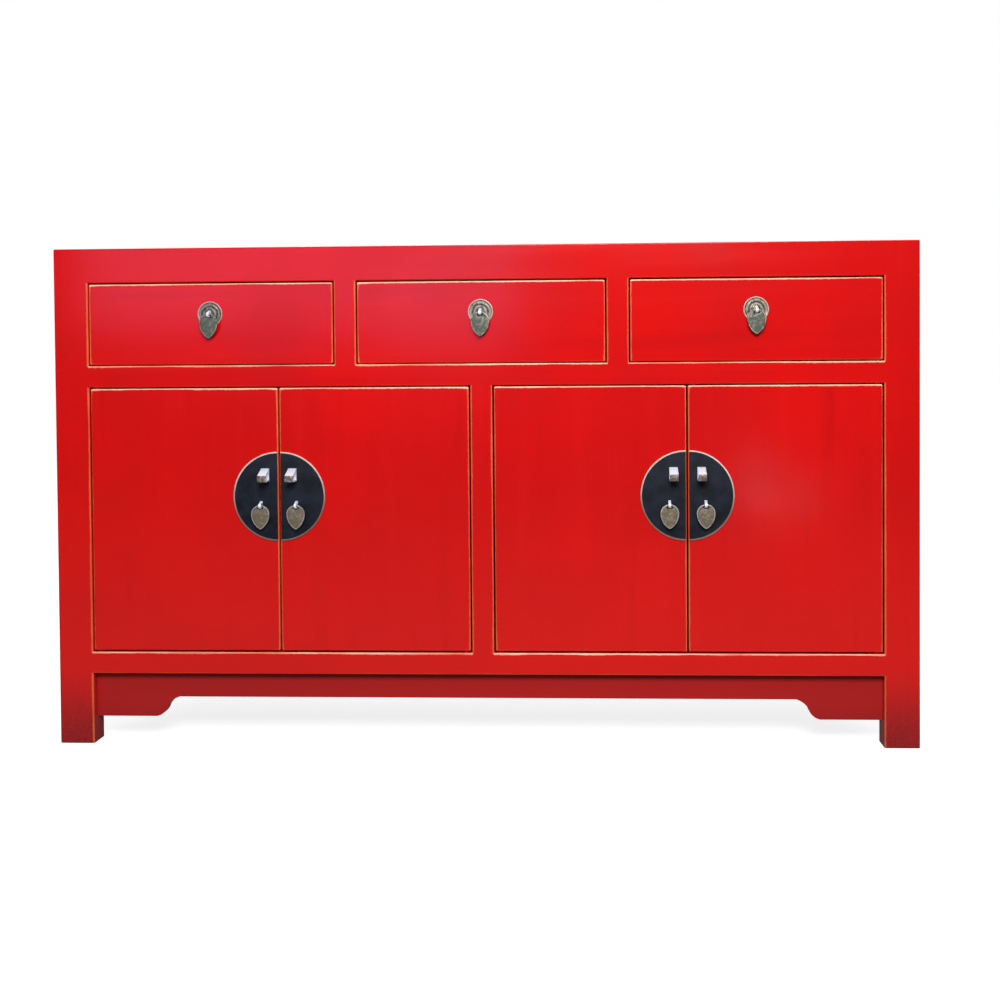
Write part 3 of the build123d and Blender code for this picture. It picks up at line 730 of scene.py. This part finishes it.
def fit(piece, node, *materials):
    """Puts a piece in a CAD node's stead, on the same body and in its material slot."""
    set_slots(piece, materials)
    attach(piece, NODES[node]["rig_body"])
    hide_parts(node)


# %% [markdown]
# ## Lock plates
# A lock plate is one round sheet sawn in two, a half to each door. Its rim is turned up
# and filed, so it stands a little above the dark middle. The whole disc is turned first,
# as the smith does: a cylinder, its front inset by the rim and pushed back, and both
# corners of the rim bevelled. Then bisect saws it at the door's edge and fills the cut.
# The other three halves are copies, moved or mirrored.

# %% Turn a plate and saw it
PLATE_HOLLOW = 0.7 * MM  # from the rim back to the dark middle
PLATE_RING, PLATE_RISE = 1.2 * MM, 0.1 * MM  # a ring inside the rim, and the middle's rise
FINE_BEVEL = 0.3 * MM


def lock_plate_half():
    """The half on the far right door, with its rim, its ring and its dark middle."""
    low, high, middle = box_of("door_far_right_lock_plate")
    bpy.ops.mesh.primitive_cylinder_add(
        vertices=128, radius=PLATE_R, depth=high.y - low.y,
        location=(low.x, middle.y, middle.z), rotation=(math.pi / 2, 0, 0),
    )
    plate = start("door_far_right_plate")
    pick("faces", facing(y=-1))
    bpy.ops.mesh.inset(thickness=RIM)
    push(y=PLATE_HOLLOW)
    bpy.ops.mesh.inset(thickness=PLATE_RING)
    push(y=-PLATE_RISE)
    pick("edges", lambda e: sharp()(e) and e.verts[0].co.y < middle.y)
    bpy.ops.mesh.bevel(offset=FINE_BEVEL, segments=2)
    bpy.ops.mesh.select_all(action="SELECT")
    bpy.ops.mesh.bisect(plane_co=(low.x, 0, 0), plane_no=(1, 0, 0), clear_inner=True, use_fill=True)
    return close(plate)


plate = lock_plate_half()
fit(plate, "door_far_right_lock_plate", PLATE_BLACK)
for door, mirror, shift in (
    ("door_mid_right", MEET, 0),
    ("door_far_left", 0, 0),
    ("door_mid_left", None, -2 * MEET),
):
    half = copy_of(plate, door + "_plate", (shift, 0, 0), mirror)
    fit(half, door + "_lock_plate", PLATE_BLACK)

# %% [markdown]
# ## Staples
# A staple is a strip bent into a loop, with a sloping top, and the bar of the lock slides
# through a pair of them. A block of the strip's width is tapered to the loop's outline,
# both its sides are inset by the strip's thickness, and bridging the two inset faces
# opens the loop. Bevelled corners catch the light as bent strip does. Staples and eyes
# are held alike: a split shank goes through the board, and its legs are folded behind.

# %% Drive a split shank
SHANK_R = 2.2 * MM
SHANK_LEG = Vector((13.0, 1.2, 4.0)) * MM  # a folded leg's length, thickness and width
EDGE_ROUND = 0.35 * MM  # bevel of the edges of strip and neck


def add_shank(x, z, from_y):
    """The shank that goes through the board, and its two folded legs behind."""
    leg_y = DOOR_BACK + SHANK_LEG.y / 2
    length = leg_y - from_y
    bpy.ops.mesh.primitive_cylinder_add(
        vertices=20, radius=SHANK_R, depth=length,
        location=(x, from_y + length / 2, z), rotation=(math.pi / 2, 0, 0),
    )
    for side in (-1, 1):
        place = (x + side * SHANK_LEG.x / 2, leg_y, z)
        bpy.ops.mesh.primitive_cube_add(size=1, location=place)
        bpy.ops.transform.resize(value=SHANK_LEG, center_override=place)


print("a shank is", round(2 * SHANK_R / MM, 1), "mm thick")

# %% Bend a staple
STRIP = 3.0 * MM
STAPLE_W = 14.5 * MM
SLOPE = 10.0 * MM  # drop of the sloping top
STAPLE_UP = 13.0 * MM  # from the shank to the top
BEND = 1.6 * MM  # radius of the bent corners
PLATE_T = 2.0 * MM


def staple_loop():
    """The staple on the far right door."""
    low, high, middle = box_of("door_far_right_staple")
    plate_y = FRONT - PLATE_T
    x = middle.x
    bpy.ops.mesh.primitive_cube_add(size=1, location=(x, (low.y + plate_y) / 2, middle.z))
    bpy.context.object.scale = (STAPLE_W, plate_y - low.y, high.z - low.z)
    staple = start("door_far_right_staple_loop")
    pick("verts", lambda v: v.co.y < plate_y - STRIP and v.co.z > middle.z)
    push(z=-SLOPE - STRIP / 2)
    pick("faces", lambda f: abs(f.normal.x) > 0.99)
    bpy.ops.mesh.inset(thickness=STRIP, use_individual=True)
    bpy.ops.mesh.bridge_edge_loops()
    pick("edges", lambda e: sharp()(e) and abs(e.verts[0].co.x - e.verts[1].co.x) > STAPLE_W / 2 and
         min(v.co.y for v in e.verts) < low.y + 2 * STRIP)
    bpy.ops.mesh.bevel(offset=BEND, segments=4)
    pick("edges", sharp())
    bpy.ops.mesh.bevel(offset=EDGE_ROUND, segments=2)
    add_shank(x, high.z - STAPLE_UP, plate_y - 0.5 * STRIP)
    return close(staple)


staple = staple_loop()
fit(staple, "door_far_right_staple", STAPLE_METAL)
for door in DOORS[:3]:
    shift = box_of(door + "_staple")[0] - box_of("door_far_right_staple")[0]
    fit(copy_of(staple, door + "_staple_loop", shift), door + "_staple", STAPLE_METAL)

# %% [markdown]
# ## Eyes
# The leaf hangs in a rolled eye with a sloping neck, the head of a split shank. Seen from
# the front it is only a bright short pin above the leaf. A short cylinder lying along X is
# opened by insetting both ends and bridging them, and its rims are rounded. The neck is
# extruded down to it from the plate, and the shank and its folded legs are added behind.

# %% Roll an eye
EYE_R = 4.8 * MM
EYE_WALL = 1.6 * MM
EYE_W = 4.5 * MM
EYE_OUT = 8.0 * MM  # ring centre in front of the plate
EYE_ROUND = 0.6 * MM  # bevel of the ring's rims
SHANK_UP = 4.0 * MM  # the shank above the ring's centre
NECK_TOP, NECK_FOOT = 8.0 * MM, 1.8 * MM  # the neck at the plate, above the ring's centre
PIVOT = {joint["child"]: Vector(joint["pos_m"]) for joint in frame["joints"] if joint["type"] == "hinge"}


def add_neck(pivot):
    """The neck, extruded from the plate to the top of the ring and narrowed on the way."""
    plate_y = pivot.y + EYE_OUT
    middle, height = (NECK_TOP + NECK_FOOT) / 2, NECK_TOP - NECK_FOOT
    ring_middle = EYE_R - EYE_WALL / 2
    place = Vector((pivot.x, plate_y, pivot.z + middle))
    bpy.ops.mesh.primitive_plane_add(size=1, location=place, rotation=(math.pi / 2, 0, 0))
    bpy.ops.transform.resize(value=(EYE_W, 1, height), center_override=place)
    step = (0, -EYE_OUT, ring_middle - middle)
    bpy.ops.mesh.extrude_region_move(TRANSFORM_OT_translate={"value": step})
    bpy.ops.transform.resize(value=(1, 1, EYE_WALL / height), center_override=place + Vector(step))
    pick("edges", sharp())
    bpy.ops.mesh.bevel(offset=EDGE_ROUND, segments=2)


def rolled_eye():
    """The eye on the far right door, about the axis that its leaf swings on."""
    pivot = PIVOT["door_far_right_pull"]
    bpy.ops.mesh.primitive_cylinder_add(
        vertices=40, radius=EYE_R, depth=EYE_W, location=pivot, rotation=(0, math.pi / 2, 0),
    )
    eye = start("door_far_right_eye_ring")
    pick("faces", lambda f: abs(f.normal.x) > 0.99)
    bpy.ops.mesh.inset(thickness=EYE_WALL, use_individual=True)
    bpy.ops.mesh.bridge_edge_loops()
    pick("edges", sharp())
    bpy.ops.mesh.bevel(offset=EYE_ROUND, segments=3)
    add_neck(pivot)
    add_shank(pivot.x, pivot.z + SHANK_UP, pivot.y + EYE_OUT - SHANK_R)
    return close(eye)


eye = rolled_eye()
fit(eye, "door_far_right_pull_eye", STAPLE_METAL)
for owner in DRAWERS + DOORS[:3]:
    shift = PIVOT[owner + "_pull"] - PIVOT["door_far_right_pull"]
    fit(copy_of(eye, owner + "_eye_ring", shift), owner + "_pull_eye", STAPLE_METAL)

# %% [markdown]
# ## Leaf pulls
# The leaf is cast with a raised border and a belly that swells a little, and a slot near
# its head lets the eye through. Its outline is three arcs: a round head and two flanks
# that run down to a blunt tip. Spin draws such arcs from a single corner, so the outline
# is spun, filled and thickened. Insets then make the border, the hollow and the belly,
# and a Boolean cuts the slot.

# %% Cast a leaf
HEAD_R = 16 * MM
LEAF_UP = 2 * MM  # the head's top above the pivot
LEAF_DOWN = 40.5 * MM
TIP_R = 4 * MM
LEAF_T = 2 * MM
BORDER = 1.9 * MM
LEAF_ROUND = 0.4 * MM  # bevel of the leaf's edges
HOLLOW, HOLLOW_DEPTH = 0.5 * MM, 0.7 * MM  # the step inside the border
BELLY_DROP = 2 * MM  # the belly's middle, below the middle of the head
BELLY_STEPS = (0.84, 0.28), (0.72, 0.22), (0.5, 0.12)  # shrink, and rise in mm
SLOT_W, SLOT_H, SLOT_DOWN = 11 * MM, 4.6 * MM, 3.8 * MM


def spin_arc(centre, angle):
    """Draws an arc in the plane of the cabinet's face, from the corner that is selected."""
    steps = max(5, round(abs(angle) / math.radians(4)))
    bpy.ops.mesh.spin(steps=steps, angle=angle, center=centre, axis=(0, 1, 0), use_auto_merge=False)


def on_border(face, front_y):
    """True for the flat faces of the raised border, which lie in the leaf's front plane."""
    return abs(face.calc_center_median().y - front_y) < 0.05 * MM


def lowest_corner():
    """The height of the lowest vertex so far."""
    mesh = bmesh.from_edit_mesh(bpy.context.object.data)
    return min(v.co.z for v in mesh.verts)


def leaf_outline(pivot):
    """Half the outline is spun as three arcs that meet smoothly, and mirrored."""
    head = Vector((pivot.x, pivot.y - LEAF_T / 2, pivot.z + LEAF_UP - HEAD_R))
    to_tip = LEAF_DOWN + LEAF_UP - HEAD_R - TIP_R
    side = HEAD_R - TIP_R
    swing = (to_tip**2 - side**2) / (2 * side)
    turn = math.atan2(to_tip, swing)
    pick("verts", lambda v: True)
    bpy.ops.mesh.merge(type="CENTER")
    pick("verts", lambda v: True)
    push(x=HEAD_R, y=-LEAF_T / 2)
    spin_arc(head, math.pi / 2)
    pick("verts", lambda v: v.co.x > head.x + HEAD_R - 0.001 * MM)
    spin_arc(head - Vector((swing, 0, 0)), -turn)
    low = lowest_corner()
    pick("verts", lambda v: v.co.z < low + 0.001 * MM)
    spin_arc(head - Vector((0, 0, to_tip)), turn - math.pi / 2)
    pick("verts", lambda v: True)
    bpy.ops.mesh.duplicate()
    bpy.ops.transform.resize(value=(-1, 1, 1), center_override=head)
    pick("verts", lambda v: True)
    bpy.ops.mesh.remove_doubles(threshold=0.02 * MM)
    pick("verts", lambda v: True)
    bpy.ops.mesh.edge_face_add()


def slot_cutter(pivot):
    """A pin of oval section across the leaf: a cylinder stretched along x."""
    place = pivot - Vector((0, 0, SLOT_DOWN))
    bpy.ops.mesh.primitive_cylinder_add(
        vertices=32, radius=SLOT_H / 2, depth=4 * LEAF_T, location=place, rotation=(math.pi / 2, 0, 0),
    )
    cutter = start("slot_cutter")
    pick("verts", lambda v: True)
    bpy.ops.transform.resize(value=(SLOT_W / SLOT_H, 1, 1), center_override=place)
    return close(cutter)


def leaf_pull():
    """The leaf on the middle drawer. Its border has a material slot of its own."""
    pivot = PIVOT["drawer_middle_pull"]
    bpy.ops.mesh.primitive_plane_add(size=1 * MM, location=pivot + Vector((0, 0, LEAF_UP - HEAD_R)))
    leaf = start("drawer_middle_leaf")
    leaf_outline(pivot)
    bpy.ops.mesh.extrude_region_move(TRANSFORM_OT_translate={"value": (0, LEAF_T, 0)})
    bpy.ops.mesh.select_all(action="SELECT")
    bpy.ops.mesh.normals_make_consistent(inside=False)
    near_face = LEAF_T / 2 - 0.1 * MM
    for way in (-1, 1):
        pick("edges", lambda e: sharp()(e) and e.verts[0].co.y * way > pivot.y * way + near_face)
        bpy.ops.mesh.bevel(offset=LEAF_ROUND, segments=3)
    pick("faces", lambda f: facing(y=-1)(f) and len(f.verts) > 20)
    bpy.ops.mesh.inset(thickness=BORDER - LEAF_ROUND)
    bpy.ops.mesh.inset(thickness=HOLLOW)
    push(y=HOLLOW_DEPTH)
    belly = pivot + Vector((0, 0, LEAF_UP - HEAD_R - BELLY_DROP))
    for size, rise in BELLY_STEPS:
        bpy.ops.mesh.extrude_region_move(TRANSFORM_OT_translate={"value": (0, -rise * MM, 0)})
        bpy.ops.transform.resize(value=(size, 1, size), center_override=belly)
    pick("faces", lambda f: facing(y=-1)(f) and on_border(f, pivot.y - LEAF_T / 2))
    for face in bmesh.from_edit_mesh(leaf.data).faces:
        face.material_index = int(face.select)
    close(leaf)
    cutter = slot_cutter(pivot)
    slot = leaf.modifiers.new("slot", "BOOLEAN")
    slot.operation, slot.solver, slot.object = "DIFFERENCE", "EXACT", cutter
    bpy.context.view_layer.objects.active = leaf
    bpy.ops.object.modifier_apply(modifier=slot.name)
    bpy.data.objects.remove(cutter)
    bpy.ops.object.shade_smooth_by_angle(angle=SMOOTH)
    return leaf


leaf = leaf_pull()
fit(leaf, "drawer_middle_pull_leaf", DARK_METAL, DARK_BORDER)
for owner in ("drawer_left", "drawer_right") + DOORS:
    shift = PIVOT[owner + "_pull"] - PIVOT["drawer_middle_pull"]
    skins = (LEAF_METAL, LEAF_BORDER) if owner.startswith("door") else (DARK_METAL, DARK_BORDER)
    fit(copy_of(leaf, owner + "_leaf", shift), owner + "_pull_leaf", *skins)

# %% [markdown]
# ## Rosettes
# Behind each drawer's leaf sits a small round rosette, stamped from brass: a rounded rim,
# a hollow, a raised ring and a boss round the shank. A disc is inset again and again,
# and each new face is pushed in or out, which is how a lathe would turn it.

# %% Turn a rosette
ROSETTE_T = 1.8 * MM  # thickness of the sheet
ROSETTE_STEPS = (  # inset, then how far the new face comes forward, in mm
    (1.4, 0.0), (0.6, -0.8), (3.6, -0.2), (0.5, 0.5), (1.6, 0.3), (0.6, -0.6), (4.2, -0.1),
    (0.8, 0.9), (1.0, 0.8), (2.4, 0.2),
)


def rosette_disc():
    """The rosette on the middle drawer."""
    low, high, middle = box_of("drawer_middle_rosette")
    bpy.ops.mesh.primitive_cylinder_add(
        vertices=72, radius=(high.z - low.z) / 2, depth=ROSETTE_T,
        location=(middle.x, high.y - ROSETTE_T / 2, middle.z), rotation=(math.pi / 2, 0, 0),
    )
    disc = start("drawer_middle_rose")
    pick("faces", facing(y=-1))
    for thickness, rise in ROSETTE_STEPS:
        bpy.ops.mesh.inset(thickness=thickness * MM)
        push(y=-rise * MM)
    pick("edges", lambda e: sharp(0.4)(e) and e.verts[0].co.y < high.y - 0.5 * MM)
    bpy.ops.mesh.bevel(offset=0.25 * MM, segments=2)
    return close(disc)


rosette = rosette_disc()
fit(rosette, "drawer_middle_rosette", ROSETTE_METAL)
for drawer in ("drawer_left", "drawer_right"):
    shift = box_of(drawer + "_rosette")[0] - box_of("drawer_middle_rosette")[0]
    fit(copy_of(rosette, drawer + "_rose", shift), drawer + "_rosette", ROSETTE_METAL)

# %% [markdown]
# ## Light and floor
# Lacquer shows what it mirrors, so the lights matter as much as the colour. A key light
# hangs high in front and a soft box high at each side, where the face can't mirror them
# towards the camera: they only light the red. Two more boxes above and behind light the
# top and the back. Four weak panels stand where the face does mirror them. Two bluish
# ones give the top rail and the drawers on the left a broad pink sheen, and two small
# ones near the floor give the far right door a soft spot. The world is white to the
# camera and dim to everything else, so the reds stay deep.

# %% Hang the lights
def panel(name, place, target, size, watts, tint=(1.0, 1.0, 1.0)):
    """A rectangle of light at a place, turned to a target, that the camera doesn't see."""
    light = bpy.data.lights.new(name, "AREA")
    light.shape = "RECTANGLE"
    light.size, light.size_y = size
    light.energy, light.color = watts, tint
    hung = bpy.data.objects.new(name, light)
    bpy.context.scene.collection.objects.link(hung)
    way = Vector(target) - Vector(place)
    hung.matrix_world = Matrix.Translation(place) @ way.to_track_quat("-Z", "Y").to_matrix().to_4x4()
    hung.visible_camera = False


panel("key", (0.25, -2.3, 1.8), (0.12, FRONT, 0.3), (1.2, 0.8), 66)
panel("softbox_left", (-3.2, -0.5, 2.2), (-0.5, 0, 0.5), (2.0, 2.0), 46)
panel("softbox_right", (3.2, -0.5, 2.2), (0.5, 0, 0.5), (2.0, 2.0), 46)
panel("softbox_top", (0.0, 0.3, 2.7), (0, 0.1, 0.8), (2.0, 1.0), 24)
panel("softbox_back", (0.0, 3.4, 2.8), (0, 0, 0.4), (3.0, 2.0), 110)
panel("sheen_long", (-1.4, -4.2, 1.18), (-0.3, FRONT, 0.82), (2.3, 0.6), 10.5, (0.3, 0.52, 1.0))
panel("sheen_short", (-0.62, -4.0, 0.98), (-0.05, FRONT, 0.76), (0.58, 0.5), 0.8, (0.3, 0.6, 1.0))
panel("sheen_low", (0.9, -2.6, 0.14), (0.5, FRONT, 0.42), (0.28, 0.12), 0.16, (0.95, 0.9, 1.0))
panel("sheen_high", (0.8, -2.6, 0.22), (0.46, FRONT, 0.46), (0.12, 0.2), 0.14, (0.95, 0.9, 1.0))
print(len(bpy.data.lights), "lights")

# %% [markdown]
# The floor is a plain pale sheet that hardly shows the cabinet's shadow. It glows, so it
# stays near white, and it glows a little more with distance, so it meets the white world
# without a line. It is hidden from diffuse and glossy rays, so its glow doesn't light the
# cabinet from below.

# %% Lay the floor under a dim world
DIM_WORLD = 0.13  # strength of the world for everything but the camera
GLOW_NEAR, GLOW_FAR = paint(236, 236, 236), paint(255, 255, 255)
GLOW_GROWS = 1.2, 5.0  # distances from the cabinet between which the glow grows

world = bpy.data.worlds.new("studio")
bpy.context.scene.world = world
world.use_nodes = True
sky = world.node_tree
background = sky.nodes["Background"]
path = sky.nodes.new("ShaderNodeLightPath")
dim = sky.nodes.new("ShaderNodeMapRange")
dim.inputs["To Min"].default_value = DIM_WORLD
dim.inputs["To Max"].default_value = 1.0
sky.links.new(path.outputs["Is Camera Ray"], dim.inputs["Value"])
sky.links.new(dim.outputs["Result"], background.inputs["Strength"])
background.inputs["Color"].default_value = (1, 1, 1, 1)

bpy.ops.mesh.primitive_plane_add(size=60)
floor = bpy.context.object
floor.name = "floor"
floor.visible_diffuse = floor.visible_glossy = False
floor_paint = Finish("floor_paint", Specular_IOR_Level=0.0, Emission_Strength=1.0)
shade = floor_paint.noise(2.0, 3.0)
floor_paint.feed("Base Color", floor_paint.mix(shade, paint(160, 160, 160), paint(164, 164, 164)))
away = (floor_paint.x * floor_paint.x + floor_paint.y * floor_paint.y).root()
far = floor_paint.fade(away, *GLOW_GROWS)
floor_paint.feed("Emission Color", floor_paint.mix(far, GLOW_NEAR, GLOW_FAR))
floor_paint.feed("Roughness", floor_paint.fade(shade, 0.3, 0.7, 0.8, 0.9))
floor.data.materials.append(floor_paint.material)
print("a floor of", round(floor.dimensions.x), "m, and a world of strength", DIM_WORLD)
